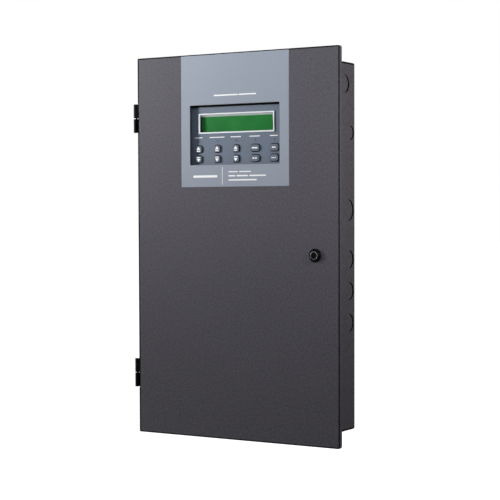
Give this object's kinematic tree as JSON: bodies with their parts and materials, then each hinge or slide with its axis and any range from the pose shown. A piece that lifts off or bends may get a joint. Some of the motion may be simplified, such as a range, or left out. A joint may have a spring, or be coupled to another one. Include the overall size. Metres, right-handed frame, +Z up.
{
  "type": "fire alarm control panel",
  "caption": "Wall-mounted steel fire alarm control cabinet with a hinged locking door, keypad window, display, circuit boards, transformer and standby batteries.",
  "frame": {"origin": "middle of the four wall holes, on the back face of the box against the wall", "axes": "+Y into the wall, so the door faces -Y; +Z up; +X to the right as seen from the front"},
  "size_m": [0.4179, 0.1019, 0.6706],
  "materials": {
    "box_paint": "fine wrinkle powder coat, charcoal",
    "door_paint": "fine wrinkle powder coat, charcoal",
    "hinge_black": "satin black",
    "pin_steel": "turned",
    "decal_film": "satin printed film, grey",
    "stop_rubber": "matt",
    "lock_black": "gloss black",
    "lock_steel": "bright zinc",
    "bezel_plastic": "fine moulded texture, grey",
    "frame_white": "satin white",
    "case_black": "moulded black",
    "display_green": "polarised green glass",
    "board_green": "solder mask",
    "indicator_lens": "clear tinted lens, unlit",
    "zinc_steel": "zinc plated",
    "terminal_green": "moulded green",
    "capacitor_sleeve": "shrink sleeve",
    "sink_aluminium": "extruded",
    "battery_case": "moulded dark grey",
    "tab_tin": "tinned",
    "core_iron": "varnished laminations",
    "coil_tape": "yellow coil tape",
    "earth_brass": "turned",
    "boot_vinyl": "soft vinyl",
    "lead_vinyl": "wire insulation",
    "ribbon_grey": "ribbon insulation",
    "key_plastic": "moulded grey keys"
  },
  "bodies": {
    "cabinet": {"back_box": "box_paint", "battery_leads": "lead_vinyl", "battery_tabs": "tab_tin", "bezel_screws": "zinc_steel", "board_capacitors": "capacitor_sleeve", "board_heat_sink": "sink_aluminium", "board_relays": "case_black", "board_screws": "zinc_steel", "board_sounder": "case_black", "board_standoffs": "zinc_steel", "display_board": "board_green", "display_case": "case_black", "display_frame": "frame_white", "display_glass": "display_green", "display_posts": "zinc_steel", "earth_nuts": "earth_brass", "earth_stud": "earth_brass", "hinge_rivets": "hinge_black", "indicator_lights": "indicator_lens", "key_switches": "case_black", "keypad_bezel": "bezel_plastic", "lead_boots": "boot_vinyl", "left_battery": "battery_case", "left_terminal_strip": "terminal_green", "lower_hinge_frame_leaf": "hinge_black", "lower_hinge_pin": "pin_steel", "main_board": "board_green", "mains_terminal_block": "case_black", "power_leads": "lead_vinyl", "ribbon_cable": "ribbon_grey", "ribbon_headers": "case_black", "right_battery": "battery_case", "right_terminal_strip": "terminal_green", "transformer_angles": "zinc_steel", "transformer_coil": "coil_tape", "transformer_core": "core_iron", "transformer_screws": "zinc_steel", "upper_hinge_frame_leaf": "hinge_black", "upper_hinge_pin": "pin_steel"},
    "door": {"door_panel": "door_paint", "door_decal": "decal_film", "door_bumpers": "stop_rubber", "upper_hinge_door_leaf": "hinge_black", "lower_hinge_door_leaf": "hinge_black", "lock_body": "lock_black", "lock_nut": "lock_steel"},
    "lock_plug": {"lock_plug": "lock_steel", "lock_cam": "lock_steel", "lock_cam_screw": "lock_steel"},
    "upper_key_1": {"upper_key_1": "key_plastic"},
    "upper_key_2": {"upper_key_2": "key_plastic"},
    "upper_key_3": {"upper_key_3": "key_plastic"},
    "upper_key_4": {"upper_key_4": "key_plastic"},
    "upper_key_5": {"upper_key_5": "key_plastic"},
    "lower_key_1": {"lower_key_1": "key_plastic"},
    "lower_key_2": {"lower_key_2": "key_plastic"},
    "lower_key_3": {"lower_key_3": "key_plastic"},
    "lower_key_4": {"lower_key_4": "key_plastic"},
    "lower_key_5": {"lower_key_5": "key_plastic"}
  },
  "joints": [
    {"name": "door_hinge", "type": "hinge", "parent": "cabinet", "child": "door", "pos_m": [-0.2102, -0.0905, 0], "axis": [0, 0, -1], "range_deg": [0, 170]},
    {"name": "lock_turn", "type": "hinge", "parent": "door", "child": "lock_plug", "pos_m": [0.1585, -0.0965, -0.0127], "axis": [0, -1, 0], "range_deg": [0, 90]},
    {"name": "upper_key_1_press", "type": "slide", "parent": "cabinet", "child": "upper_key_1", "axis": [0, 1, 0], "range_m": [0, 0.001], "stiffness_N_per_m": 800},
    {"name": "upper_key_2_press", "type": "slide", "parent": "cabinet", "child": "upper_key_2", "axis": [0, 1, 0], "range_m": [0, 0.001], "stiffness_N_per_m": 800},
    {"name": "upper_key_3_press", "type": "slide", "parent": "cabinet", "child": "upper_key_3", "axis": [0, 1, 0], "range_m": [0, 0.001], "stiffness_N_per_m": 800},
    {"name": "upper_key_4_press", "type": "slide", "parent": "cabinet", "child": "upper_key_4", "axis": [0, 1, 0], "range_m": [0, 0.001], "stiffness_N_per_m": 800},
    {"name": "upper_key_5_press", "type": "slide", "parent": "cabinet", "child": "upper_key_5", "axis": [0, 1, 0], "range_m": [0, 0.001], "stiffness_N_per_m": 800},
    {"name": "lower_key_1_press", "type": "slide", "parent": "cabinet", "child": "lower_key_1", "axis": [0, 1, 0], "range_m": [0, 0.001], "stiffness_N_per_m": 800},
    {"name": "lower_key_2_press", "type": "slide", "parent": "cabinet", "child": "lower_key_2", "axis": [0, 1, 0], "range_m": [0, 0.001], "stiffness_N_per_m": 800},
    {"name": "lower_key_3_press", "type": "slide", "parent": "cabinet", "child": "lower_key_3", "axis": [0, 1, 0], "range_m": [0, 0.001], "stiffness_N_per_m": 800},
    {"name": "lower_key_4_press", "type": "slide", "parent": "cabinet", "child": "lower_key_4", "axis": [0, 1, 0], "range_m": [0, 0.001], "stiffness_N_per_m": 800},
    {"name": "lower_key_5_press", "type": "slide", "parent": "cabinet", "child": "lower_key_5", "axis": [0, 1, 0], "range_m": [0, 0.001], "stiffness_N_per_m": 800}
  ]
}
